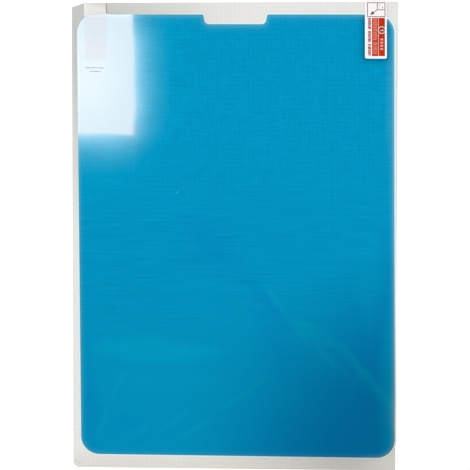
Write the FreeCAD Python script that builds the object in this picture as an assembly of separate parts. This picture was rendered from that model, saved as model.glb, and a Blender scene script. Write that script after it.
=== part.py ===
"""Paper-feel screen protector for an 11-inch tablet, as supplied: a film laminate lying on its backing sheet.

Frame, in millimetres: X and Y are the film's own axes and cross at its middle, +Y points to the end with
the camera notch, and Z = 0 is the underside of the backing sheet. The film lies with its adhesive face up.
"""

import FreeCAD, Part
import math
import os

# Film outline, die-cut through the cover film and the protector film
FILM_WIDTH = 174.6
FILM_LENGTH = 243.6
FILM_CORNER_RADIUS = 10.8

# Camera notch in the film's top edge
NOTCH_MOUTH_WIDTH = 33.7
NOTCH_DEPTH = 5.25
NOTCH_FLANK_LEAN_DEG = 12.0
NOTCH_MOUTH_RADIUS = 1.6
NOTCH_FLOOR_RADIUS = 1.8
NOTCH_OFF_CENTRE = 0.25

# Layers of the laminate; the release film stops short of the die line all round
COVER_THICKNESS = 0.05
PROTECTOR_THICKNESS = 0.18
RELEASE_THICKNESS = 0.10
RELEASE_INSET = 0.8

# Pull tabs, one label cut for both
TAB_WIDTH = 11.9
TAB_LENGTH = 31.8
TAB_THICKNESS = 0.08
TAB_CORNER_RADIUS = 1.0
FRONT_TAB_SIDE_INSET = 4.85
FRONT_TAB_OVERHANG = 5.55
BACK_TAB_SIDE_INSET = 4.8
BACK_TAB_OVERHANG = 7.2

# Backing sheet: its margins round the film, how far it is cut out of square, and its two trimmed corners
SHEET_THICKNESS = 0.35
SHEET_MARGIN_LEFT = 2.9
SHEET_MARGIN_RIGHT = 0.3
SHEET_MARGIN_TOP = 5.75
SHEET_MARGIN_BOTTOM = 6.45
SHEET_LEFT_LEAN = 1.8
SHEET_RIGHT_LEAN = 2.0
SHEET_END_RISE = 0.7
SHEET_CLIP_ALONG_TOP = 6.9
SHEET_CLIP_ALONG_SIDE = 2.3
SHEET_ROUND_RADIUS = 3.5

# Heights of the layers' undersides: the laminate lies on the front tab, and each layer on the one below
FRONT_TAB_Z = SHEET_THICKNESS
COVER_Z = FRONT_TAB_Z + TAB_THICKNESS
PROTECTOR_Z = COVER_Z + COVER_THICKNESS
RELEASE_Z = PROTECTOR_Z + PROTECTOR_THICKNESS
BACK_TAB_Z = RELEASE_Z + RELEASE_THICKNESS

FILM_SIDE = FILM_WIDTH / 2
FILM_TOP = FILM_LENGTH / 2


def unit_towards(start, end):
    """The unit vector from one point to another."""
    return (end - start).normalize()


def rounded_wire(corners):
    """A closed wire of straight runs joined by tangent arcs; each corner is (x, y, radius), in order."""
    points = [FreeCAD.Vector(x, y, 0) for x, y, _ in corners]
    arcs = []
    for i, (_, _, radius) in enumerate(corners):
        corner = points[i]
        back = unit_towards(corner, points[i - 1])
        ahead = unit_towards(corner, points[(i + 1) % len(points)])
        half_angle = back.getAngle(ahead) / 2
        reach = radius / math.tan(half_angle)
        inward = (back + ahead).normalize()
        crown = corner + inward * (radius / math.sin(half_angle) - radius)
        arcs.append((corner + back * reach, crown, corner + ahead * reach, radius))
    edges = []
    for i, (start, crown, end, radius) in enumerate(arcs):
        if radius > 0:
            edges.append(Part.Arc(start, crown, end).toShape())
        edges.append(Part.LineSegment(end, arcs[(i + 1) % len(arcs)][0]).toShape())
    return Part.Wire(edges)


def sheet_of(corners, underside, thickness):
    """A flat sheet of the given outline, from its underside up."""
    face = Part.Face(rounded_wire(corners))
    face.translate(FreeCAD.Vector(0, 0, underside))
    return face.extrude(FreeCAD.Vector(0, 0, thickness))


def film_corners(inset=0.0):
    """The film's outline, anticlockwise from its bottom left, drawn in from the die line by the inset."""
    lean = math.radians(NOTCH_FLANK_LEAN_DEG)
    side = FILM_SIDE - inset
    top = FILM_TOP - inset
    floor = top - NOTCH_DEPTH

    def flank(height):
        """Half the notch's width at a height, between flanks that close towards its floor."""
        return NOTCH_MOUTH_WIDTH / 2 - (FILM_TOP - height) * math.tan(lean) + inset / math.cos(lean)

    corner_radius = max(FILM_CORNER_RADIUS - inset, 0)
    mouth_radius = max(NOTCH_MOUTH_RADIUS - inset, 0)
    floor_radius = NOTCH_FLOOR_RADIUS + inset
    return [
        (-side, -top, corner_radius),
        (side, -top, corner_radius),
        (side, top, corner_radius),
        (NOTCH_OFF_CENTRE + flank(top), top, mouth_radius),
        (NOTCH_OFF_CENTRE + flank(floor), floor, floor_radius),
        (NOTCH_OFF_CENTRE - flank(floor), floor, floor_radius),
        (NOTCH_OFF_CENTRE - flank(top), top, mouth_radius),
        (-side, top, corner_radius),
    ]


def tab_corners(left, overhang):
    """A pull tab's outline, from its left side and how far it reaches past the film's top edge."""
    right = left + TAB_WIDTH
    top = FILM_TOP + overhang
    bottom = top - TAB_LENGTH
    outline = [(left, bottom), (right, bottom), (right, top), (left, top)]
    return [(x, y, TAB_CORNER_RADIUS) for x, y in outline]


def backing_corners():
    """The backing sheet's outline: out of square, rounded at its bottom left and clipped at its top left."""
    left = -FILM_SIDE - SHEET_MARGIN_LEFT
    right = FILM_SIDE + SHEET_MARGIN_RIGHT
    top = FILM_TOP + SHEET_MARGIN_TOP
    bottom = -FILM_TOP - SHEET_MARGIN_BOTTOM
    left_lean = SHEET_LEFT_LEAN / 2
    right_lean = SHEET_RIGHT_LEAN / 2
    rise = SHEET_END_RISE / 2
    side_slope = SHEET_LEFT_LEAN / (top - bottom)
    end_slope = SHEET_END_RISE / (right - left)
    clipped_x = left + left_lean
    clipped_y = top - rise
    return [
        (left - left_lean, bottom - rise, SHEET_ROUND_RADIUS),
        (right - right_lean, bottom + rise, 0),
        (right + right_lean, top + rise, 0),
        (clipped_x + SHEET_CLIP_ALONG_TOP, clipped_y + SHEET_CLIP_ALONG_TOP * end_slope, 0),
        (clipped_x - SHEET_CLIP_ALONG_SIDE * side_slope, clipped_y - SHEET_CLIP_ALONG_SIDE, 0),
    ]


def build():
    """Every piece of the protector, by node name, from the underside up."""
    front_tab = tab_corners(-FILM_SIDE + FRONT_TAB_SIDE_INSET, FRONT_TAB_OVERHANG)
    back_tab = tab_corners(FILM_SIDE - BACK_TAB_SIDE_INSET - TAB_WIDTH, BACK_TAB_OVERHANG)
    return {
        "backing_sheet": sheet_of(backing_corners(), 0, SHEET_THICKNESS),
        "front_pull_tab": sheet_of(front_tab, FRONT_TAB_Z, TAB_THICKNESS),
        "front_cover_film": sheet_of(film_corners(), COVER_Z, COVER_THICKNESS),
        "protector_film": sheet_of(film_corners(), PROTECTOR_Z, PROTECTOR_THICKNESS),
        "release_film": sheet_of(film_corners(RELEASE_INSET), RELEASE_Z, RELEASE_THICKNESS),
        "back_pull_tab": sheet_of(back_tab, BACK_TAB_Z, TAB_THICKNESS),
    }


os.makedirs("parts", exist_ok=True)
for node, solid in build().items():
    solid.exportStep(os.path.join("parts", node + ".step"))
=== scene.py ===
"""Looks of a paper-feel screen protector for a tablet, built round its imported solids.

The frame is the solids' own: X across the film, +Y to its notched end, and Z up from the underside of
the backing sheet. The solids keep their shapes and are dressed here, and the print on the films is
modelled here. Lengths are in millimetres, except the places and sizes of the stage's own pieces, which
are in metres.
"""

import logging
import math
from abc import ABC, abstractmethod
from collections.abc import Callable
from dataclasses import dataclass, field
from enum import Enum
from itertools import count

import bpy
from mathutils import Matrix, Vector


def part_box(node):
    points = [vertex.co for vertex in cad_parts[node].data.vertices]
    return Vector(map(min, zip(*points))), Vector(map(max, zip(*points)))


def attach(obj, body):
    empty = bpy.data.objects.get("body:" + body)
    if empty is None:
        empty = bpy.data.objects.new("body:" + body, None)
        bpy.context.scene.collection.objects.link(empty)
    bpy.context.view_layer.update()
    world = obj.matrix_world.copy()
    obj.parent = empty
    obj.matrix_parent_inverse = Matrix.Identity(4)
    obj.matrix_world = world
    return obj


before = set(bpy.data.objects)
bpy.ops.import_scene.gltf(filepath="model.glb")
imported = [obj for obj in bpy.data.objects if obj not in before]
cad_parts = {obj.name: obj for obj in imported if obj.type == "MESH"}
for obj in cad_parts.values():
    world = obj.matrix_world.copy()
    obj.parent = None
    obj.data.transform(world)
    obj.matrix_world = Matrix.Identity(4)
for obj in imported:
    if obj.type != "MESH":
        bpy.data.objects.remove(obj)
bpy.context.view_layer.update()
BODY = "root"
MM = 0.001
TAB_CORNER = 1.0
TOLERANCE = 0.01
SHEET = "backing_sheet"
FRONT_TAB = "front_pull_tab"
RELEASE = "release_film"
BACK_TAB = "back_pull_tab"
LOG = logging.getLogger("screen_protector")

Colour = tuple[float, float, float]
Point = tuple[float, float]
Box = tuple[Point, Point]


class Detail(Enum):
    """How fine a noise is, by its number of octaves."""

    SMOOTH = 1.0
    MEDIUM = 2.0
    FINE = 3.0


class Blend(Enum):
    """How one colour goes on another."""

    MIX = "MIX"
    MULTIPLY = "MULTIPLY"


def span(node: str) -> Box:
    """A solid's lower left and upper right corner in plan."""
    low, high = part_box(node)
    return (low.x / MM, low.y / MM), (high.x / MM, high.y / MM)


def plan(node: str) -> tuple[Point, Point]:
    """A solid's middle in plan, and half its width and length."""
    (left, bottom), (right, top) = span(node)
    return ((left + right) / 2, (bottom + top) / 2), ((right - left) / 2, (top - bottom) / 2)


class Value:
    """A number that varies over a surface; arithmetic on it adds Math nodes to its graph."""

    def __init__(self, graph: "Graph", socket: bpy.types.NodeSocket) -> None:
        """Wraps an output socket of a node in the graph."""
        self.graph = graph
        self.socket = socket

    def _math(self, operation: str, left: "Scalar", right: "Scalar" = 0.0) -> "Value":
        """Adds a Math node.

        Args:
            operation: The node's operation.
            left: Its first operand.
            right: Its second operand, where it has one.

        Returns:
            The node's result.
        """
        node = self.graph.node("ShaderNodeMath", {"operation": operation}, {0: left, 1: right})
        return Value(self.graph, node.outputs[0])

    def __add__(self, other: "Scalar") -> "Value":
        """The sum."""
        return self._math("ADD", self, other)

    __radd__ = __add__

    def __sub__(self, other: "Scalar") -> "Value":
        """The difference."""
        return self._math("SUBTRACT", self, other)

    def __rsub__(self, other: "Scalar") -> "Value":
        """The difference, taken from a number."""
        return self._math("SUBTRACT", other, self)

    def __mul__(self, other: "Scalar") -> "Value":
        """The product."""
        return self._math("MULTIPLY", self, other)

    __rmul__ = __mul__

    def __truediv__(self, other: "Scalar") -> "Value":
        """The quotient."""
        return self._math("DIVIDE", self, other)

    def __rpow__(self, base: float) -> "Value":
        """A number raised to this power."""
        return self._math("POWER", base, self)

    def __neg__(self) -> "Value":
        """The same size with the other sign."""
        return self * -1.0

    def __abs__(self) -> "Value":
        """The size without its sign."""
        return self._math("ABSOLUTE", self)

    def at_least(self, other: "Scalar") -> "Value":
        """The larger of the two."""
        return self._math("MAXIMUM", self, other)

    def at_most(self, other: "Scalar") -> "Value":
        """The smaller of the two."""
        return self._math("MINIMUM", self, other)

    def sine(self) -> "Value":
        """The sine of an angle in radians."""
        return self._math("SINE", self)

    def root(self) -> "Value":
        """The square root."""
        return self._math("SQRT", self)


Scalar = Value | float
Linkable = Value | bpy.types.NodeSocket | Colour | float


class Graph:
    """The node tree of one material or of the world, built node by node."""

    border_wander: float = 35.0
    second_wander: float = 0.8

    def __init__(self, tree: bpy.types.NodeTree) -> None:
        """Empties the tree that the nodes go in.

        Args:
            tree: The tree.
        """
        self.tree = tree
        self._plane: tuple[Value, Value] | None = None
        tree.nodes.clear()

    def node(
        self, kind: str, settings: dict[str, object], inputs: dict[int | str, Linkable]
    ) -> bpy.types.Node:
        """Adds a node.

        Args:
            kind: The node's type.
            settings: Its own settings, which are set first.
            inputs: The values or links of its sockets, by name or place.

        Returns:
            The node.
        """
        node = self.tree.nodes.new(kind)
        for name, setting in settings.items():
            setattr(node, name, setting)
        for name, given in inputs.items():
            socket = node.inputs[name]
            source = given.socket if isinstance(given, Value) else given
            if isinstance(source, bpy.types.NodeSocket):
                self.tree.links.new(source, socket)
            elif socket.type == "RGBA":
                socket.default_value = (*source, 1.0)
            else:
                socket.default_value = source
        return node

    def point(self) -> bpy.types.NodeSocket:
        """The surface point, in metres, in the part's frame."""
        return self.node("ShaderNodeTexCoord", {}, {}).outputs["Object"]

    def plane(self) -> tuple[Value, Value]:
        """The surface point's place in plan.

        Returns:
            Its X and its Y.
        """
        if self._plane is None:
            parts = self.node("ShaderNodeSeparateXYZ", {}, {0: self.point()}).outputs
            self._plane = Value(self, parts[0]) / MM, Value(self, parts[1]) / MM
        return self._plane

    def noise(self, size: float, detail: Detail = Detail.MEDIUM, stretch: Point = (1.0, 1.0)) -> Value:
        """Smooth noise about zero, from -0.5 to 0.5.

        Args:
            size: The width of its patches.
            detail: How fine it is.
            stretch: How much longer its patches are along X and along Y.

        Returns:
            The noise.
        """
        shrink = (1 / stretch[0], 1 / stretch[1], 1.0)
        place = self.node("ShaderNodeMapping", {}, {"Vector": self.point(), "Scale": shrink})
        scales = {"Vector": place.outputs[0], "Scale": 1 / (size * MM), "Detail": detail.value}
        return Value(self, self.node("ShaderNodeTexNoise", {}, scales).outputs[0]) - 0.5

    def step(self, value: Value, start: float, end: float) -> Value:
        """A smooth step from 0 where the value is at the start to 1 where it is at the end."""
        settings, inputs = {"interpolation_type": "SMOOTHSTEP"}, {0: value, 1: start, 2: end}
        return Value(self, self.node("ShaderNodeMapRange", settings, inputs).outputs[0])

    def mix(
        self, factor: Scalar, first: Linkable, second: Linkable, blend: Blend = Blend.MIX
    ) -> bpy.types.NodeSocket:
        """Mixes two colours.

        Args:
            factor: The share of the second, from 0 to 1.
            first: The colour at 0.
            second: The colour at 1.
            blend: How the second goes on the first.

        Returns:
            The mixed colour.
        """
        settings = {"data_type": "RGBA", "blend_type": blend.value}
        return self.node("ShaderNodeMix", settings, {0: factor, 6: first, 7: second}).outputs[2]

    def toned(self, colour: Linkable, tone: Value) -> bpy.types.NodeSocket:
        """The colour, lighter or darker by a factor about 1."""
        grey = self.node("ShaderNodeCombineColor", {}, {0: tone, 1: tone, 2: tone}).outputs[0]
        return self.mix(1.0, colour, grey, Blend.MULTIPLY)

    def bump(self, height: Value) -> bpy.types.NodeSocket:
        """The surface normal over a relief whose height is in metres."""
        return self.node("ShaderNodeBump", {}, {"Height": height, "Distance": 1.0}).outputs[0]

    def emboss(self, pitch: float, line: float) -> Value:
        """A square grid of pressed lines: 1 on a line and 0 between.

        Args:
            pitch: The spacing of the lines.
            line: Half a line's width, as a share of the pitch.

        Returns:
            The grid.
        """
        edge = math.sin(math.pi * line)
        across, along = (1 - self.step(abs((math.pi / pitch * x).sine()), 0.0, edge) for x in self.plane())
        return (across + along) * 0.5

    def rounded_box(self, centre: Point, half: Point, radius: float, lean: float = 0.0) -> Value:
        """How far a point lies outside a box with rounded corners; negative inside.

        Args:
            centre: The box's middle.
            half: Half its width and length.
            radius: Its corners' radius.
            lean: How far each side closes in for every millimetre below the middle.

        Returns:
            The distance.
        """
        x, y = self.plane()
        over_x = abs(x - centre[0]) + (centre[1] - y) * lean - (half[0] - radius)
        over_y = abs(y - centre[1]) - (half[1] - radius)
        past_x = over_x.at_least(0.0)
        past_y = over_y.at_least(0.0)
        inside = over_x.at_least(over_y).at_most(0.0)
        return (past_x * past_x + past_y * past_y).root() + inside - radius

    def on_tab(self, node: str, border: Point) -> Value:
        """1 on a tab and 0 off it, with a soft border between two distances from its edge."""
        return 1 - self.step(self.rounded_box(*plan(node), TAB_CORNER), *border)

    def wander(self, amount: float, size: float) -> tuple[Value, Value]:
        """The surface point's X and Y, shifted unevenly by up to half the amount."""
        (x, y), second = self.plane(), self.second_wander * size
        return x + amount * self.noise(size, Detail.FINE), y + amount * self.noise(second, Detail.FINE)

    def near(self, place: Point, reach: Point, squeeze: Point = (1.0, 1.0), uneven: float = 0.0) -> Value:
        """A round patch: 1 near a point and 0 far from it.

        Args:
            place: The point.
            reach: How far from it the patch starts and ends to fade.
            squeeze: How many times shorter it is along X and along Y.
            uneven: How far its border wanders.

        Returns:
            The patch.
        """
        x, y = self.plane()
        x, y = (x - place[0]) * squeeze[0], (y - place[1]) * squeeze[1]
        distance = (x * x + y * y).root()
        if uneven:
            distance = distance + uneven * self.noise(self.border_wander)
        return 1 - self.step(distance, *reach)

    def leaf(
        self, start: Point, end: Point, half_width: float, softness: float,
        place: tuple[Value, Value] | None = None,
    ) -> Value:
        """A leaf-shaped patch, pointed at both ends: 1 along its middle and 0 outside.

        Args:
            start: The point where it begins.
            end: The point where it ends.
            half_width: Half its width at the middle.
            softness: How much of that width fades out, from 0 to 1.
            place: The X and Y that it is drawn on, where they aren't the surface point's own.

        Returns:
            The patch.
        """
        x, y = place or self.plane()
        length = math.dist(start, end)
        along_x, along_y = (end[0] - start[0]) / length, (end[1] - start[1]) / length
        x, y = x - start[0], y - start[1]
        share = (x * along_x + y * along_y) / length
        aside = abs(y * along_x - x * along_y)
        room = (share * (1 - share) * (4 * half_width)).at_least(0.0)
        return 1 - self.step(aside - room, -half_width * softness, 0.0)


def blank_material(name: str) -> tuple[bpy.types.Material, Graph]:
    """Makes a material without nodes.

    Args:
        name: Its name.

    Returns:
        The material, and the graph that its nodes go in.
    """
    made = bpy.data.materials.new(name)
    made.use_nodes = True
    return made, Graph(made.node_tree)


class Finish(ABC):
    """A surface finish, made as one material."""

    name: str

    @abstractmethod
    def paint(self, graph: Graph) -> dict[str, Linkable]:
        """Adds the finish's nodes.

        Args:
            graph: The material's nodes.

        Returns:
            What goes into the shader's sockets, by their names.
        """

    def material(self) -> bpy.types.Material:
        """Makes the finish's material.

        Returns:
            The material.
        """
        made, graph = blank_material(self.name)
        shader = graph.node("ShaderNodeBsdfPrincipled", {}, self.paint(graph))
        graph.node("ShaderNodeOutputMaterial", {}, {"Surface": shader.outputs[0]})
        return made


@dataclass(frozen=True)
class CornerShade:
    """Painted shade round the backing sheet's upper left corner, where its colour is made darker."""

    reach: Point = (10.0, 150.0)
    squeeze: Point = (1.45, 1.0)
    uneven: float = 30.0

    def patch(self, graph: Graph) -> Value:
        """1 where the painted shade is deepest and 0 where there is none."""
        (left, _), (_, top) = span(SHEET)
        return graph.near((left, top), self.reach, self.squeeze, self.uneven)


@dataclass(frozen=True)
class LeafPatch:
    """A leaf-shaped patch, used for the painted sheen and painted shade on creases, for painted light along
    the film's edge and for specks of dust; below 0, its strength gives the blue film its painted shade
    colour, not its painted sheen colour.
    """

    start: Point
    end: Point
    half_width: float
    strength: float
    softness: float = 1.0

    def patch(self, graph: Graph, place: tuple[Value, Value] | None = None) -> Value:
        """The patch's cover, from 0 to the size of its strength, drawn on the given X and Y."""
        return abs(self.strength) * graph.leaf(self.start, self.end, self.half_width, self.softness, place)


@dataclass(frozen=True)
class EmbossedSheet(Finish):
    """Pale plastic sheet pressed with a fine square grid, with painted shade round its upper left corner,
    along its bottom, beside the front tab and along a crease, and painted light at its lower right corner.
    """

    name: str = "embossed_sheet"
    pale: Colour = (0.742, 0.742, 0.724)
    corner_shade: CornerShade = CornerShade()
    corner_shade_colour: Colour = (0.512, 0.525, 0.508)
    # painted shade colour along the sheet's bottom, warmer and darker
    warm_shade: Colour = (0.70, 0.675, 0.60)
    shade_end: Point = (-127.0, -116.0)
    warm_shade_share: float = 0.5
    pitch: float = 2.5
    line: float = 0.16
    depth: float = 0.012
    grid_tone: float = -0.06
    cloud_size: float = 18.0
    cloud_tone: float = 0.05
    grain_size: float = 0.9
    grain_tone: float = 0.05
    grain_depth: float = 0.3
    shade_span: Point = (-40.0, 40.0)
    shade_tone: float = -0.06
    shade_turn: float = 1.8
    # painted light at the sheet's lower right corner, which lifts the flag's shade there
    lit_corner: Point = (90.0, -130.0)
    lit_reach: Point = (4.0, 28.0)
    lit_tone: float = 0.26
    # painted shade along a crease at the sheet's lower left corner
    shaded_crease: LeafPatch = LeafPatch((-91.5, -123.6), (-85.8, -127.4), 0.45, 0.16, 0.8)
    tab_shadow_aside: float = 0.25
    tab_shadow_reach: Point = (0.2, 0.6)
    tab_shadow_end: float = 1.0
    tab_shadow_tone: float = -0.45
    roughness: float = 0.56
    grid_roughness: float = 0.10
    cloud_roughness: float = 0.12
    specular: float = 0.15

    def tab_shadow_line(self, graph: Graph) -> Value:
        """A painted shadow line along the front tab's right side, from the film to the tab's end.

        Args:
            graph: The material's nodes.

        Returns:
            1 on the line and 0 beside it.
        """
        x, y = graph.plane()
        right, tab_top = span(FRONT_TAB)[1]
        film_top = span(RELEASE)[1][1]
        line = 1 - graph.step(abs(x - (right + self.tab_shadow_aside)), *self.tab_shadow_reach)
        line = line * graph.step(y, film_top, film_top + self.tab_shadow_end)
        return line * (1 - graph.step(y, tab_top - self.tab_shadow_end, tab_top))

    def paint(self, graph: Graph) -> dict[str, Linkable]:
        """Adds the finish's nodes.

        Args:
            graph: The material's nodes.

        Returns:
            What goes into the shader's sockets, by their names.
        """
        x, y = graph.plane()
        grid = graph.emboss(self.pitch, self.line)
        cloud = graph.noise(self.cloud_size, Detail.FINE)
        grain = graph.noise(self.grain_size)
        # painted shade along the sheet's bottom: darker on its left and lighter on its right
        low_end = 1 - graph.step(y, *self.shade_end)
        shade = low_end * (1 - self.shade_turn * graph.step(x, *self.shade_span))
        # painted light: the sheet lighter at its lower right corner
        bright = graph.near(self.lit_corner, self.lit_reach)
        tone = 1 + self.grid_tone * grid + self.cloud_tone * cloud + self.grain_tone * grain
        # painted shadow beside the front tab, and painted shade along the sheet's crease
        tone = tone + self.tab_shadow_tone * self.tab_shadow_line(graph) - self.shaded_crease.patch(graph)
        tone = tone + self.shade_tone * shade + self.lit_tone * bright
        # painted shade: the sheet's colour darker round its upper left corner
        colour = graph.mix(self.corner_shade.patch(graph), self.pale, self.corner_shade_colour)
        # painted shade: the sheet warmer and darker along its bottom
        colour = graph.mix(self.warm_shade_share * low_end, colour, self.warm_shade)
        height = (self.grain_depth * grain - grid) * (self.depth * MM)
        return {
            "Base Color": graph.toned(colour, tone),
            "Roughness": self.roughness + self.grid_roughness * grid + self.cloud_roughness * cloud,
            "Specular IOR Level": self.specular,
            "Normal": graph.bump(height),
        }


@dataclass(frozen=True)
class ClearFilm(Finish):
    """Clear film seen as a pale rim: slightly blue, and like what it is on, the sheet with its painted
    corner shade and the tab; paler at the lower right corner, partly from the white floor below it and
    partly from painted light.
    """

    name: str = "clear_film"
    rim: Colour = (0.68, 0.87, 0.95)
    rim_left: Colour = (0.66, 0.81, 0.86)
    left_reach: Point = (-90.0, 60.0)
    corner_shade: CornerShade = CornerShade()
    rim_corner_shade: Colour = (0.47, 0.50, 0.50)
    # partly the white floor below the rim, partly painted light that lifts the flag's shade
    rim_lit_corner: Colour = (0.93, 0.96, 0.97)
    corner: Point = (88.0, -112.0)
    corner_reach: Point = (12.0, 28.0)
    rim_on_tab: Colour = (0.70, 0.70, 0.69)
    tab_border: Point = (-0.4, 0.4)
    cloud_size: float = 9.0
    cloud_tone: float = 0.06
    grain_size: float = 0.35
    grain_tone: float = 0.05
    grain_height: float = 0.004
    roughness: float = 0.45
    grain_roughness: float = 0.15
    specular: float = 0.05

    def paint(self, graph: Graph) -> dict[str, Linkable]:
        """Adds the finish's nodes.

        Args:
            graph: The material's nodes.

        Returns:
            What goes into the shader's sockets, by their names.
        """
        left = 1 - graph.step(graph.plane()[0], *self.left_reach)
        grain = graph.noise(self.grain_size)
        tone = 1 + self.cloud_tone * graph.noise(self.cloud_size) + self.grain_tone * grain
        colour = graph.mix(left, self.rim, self.rim_left)
        # the rim takes the sheet's painted corner shade
        colour = graph.mix(left * self.corner_shade.patch(graph), colour, self.rim_corner_shade)
        # the rim paler at the lower right corner: partly the white floor it lies over, partly painted light
        colour = graph.mix(graph.near(self.corner, self.corner_reach), colour, self.rim_lit_corner)
        colour = graph.mix(graph.on_tab(FRONT_TAB, self.tab_border), colour, self.rim_on_tab)
        return {
            "Base Color": graph.toned(colour, tone),
            "Roughness": self.roughness + self.grain_roughness * grain,
            "Specular IOR Level": self.specular,
            "Normal": graph.bump(grain * (self.grain_height * MM)),
        }


# Painted sheen and painted shade on the film's creases: each patch's start, end, half width, strength and,
# where it isn't 1, softness
CREASE_SHEEN_AND_SHADE = tuple(LeafPatch(*mark) for mark in (
    ((-92.0, -63.0), (4.0, -64.0), 9.5, 0.42, 0.9),
    ((-86.0, -61.5), (-30.0, -56.5), 6.5, 0.20, 0.6),
    ((-78.0, -68.0), (-8.0, -68.5), 3.0, 0.20, 0.8),
    ((-62.0, -62.5), (0.0, -62.5), 3.2, 0.16),
    ((-85.0, -77.0), (8.0, -82.0), 12.0, 0.15),
    ((-85.5, -65.5), (-66.0, -53.5), 1.3, 0.22, 0.9),
    ((-60.6, -60.6), (-57.0, -59.4), 0.9, 0.40),
    ((-59.5, -71.0), (-71.5, -92.5), 1.8, 0.28),
    ((-69.0, -87.0), (-80.0, -118.0), 1.6, 0.22),
    ((-66.0, -115.5), (-45.0, -101.5), 1.6, 0.30),
    ((-50.0, -105.0), (-32.0, -93.0), 1.5, 0.20),
    ((-50.0, -113.0), (-20.0, -91.0), 1.8, 0.30),
    ((-39.0, -116.5), (-10.0, -97.0), 2.2, 0.32),
    ((-16.0, -101.0), (25.0, -71.0), 2.9, 0.28),
    ((-80.0, -70.0), (-80.5, -124.0), 6.5, -0.40, 0.8),
    ((-72.0, -100.0), (-48.0, -104.0), 6.0, -0.26),
    ((-62.0, -117.5), (-42.0, -107.0), 2.0, -0.28),
    ((8.0, -8.0), (28.0, -92.0), 17.0, -0.24),
    ((73.0, 14.0), (73.0, -62.0), 13.0, 0.24),
    ((12.0, -20.5), (29.5, -46.0), 2.2, 0.40),
    ((27.5, -45.0), (59.0, -61.5), 6.8, 0.26, 0.7),
    ((29.0, -46.0), (48.0, -49.5), 2.0, 0.26),
    ((29.0, -47.0), (41.5, -61.0), 1.8, 0.32),
    ((38.0, -54.0), (58.0, -76.0), 3.2, 0.26),
    ((44.0, -44.5), (101.0, -112.0), 4.8, 0.26, 0.8),
    ((50.0, -48.5), (92.0, -101.0), 3.0, 0.20, 0.9),
    ((52.0, -65.0), (66.0, -82.0), 3.0, 0.14),
    ((0.0, -17.0), (32.0, -55.5), 5.0, -0.34),
    ((19.0, -35.5), (30.5, -52.0), 1.6, -0.34),
    ((0.0, -24.0), (14.5, -24.2), 2.2, -0.30),
    ((12.5, -27.0), (21.5, -44.0), 2.6, -0.30),
    ((15.0, -51.0), (47.0, -91.0), 14.0, -0.22),
    ((-36.0, 17.0), (10.0, -29.0), 20.0, -0.38),
    ((51.0, 10.0), (57.5, -2.7), 2.8, -0.25),
    ((-23.5, 4.0), (-14.5, -1.5), 2.2, -0.20),
    ((-82.0, -33.5), (-82.5, -120.0), 1.3, -0.35),
))


@dataclass(frozen=True)
class Border:
    """How pale the film's border is and how steeply that fades inwards, or what a stretch of it adds."""

    pale: float
    fade: float


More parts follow.
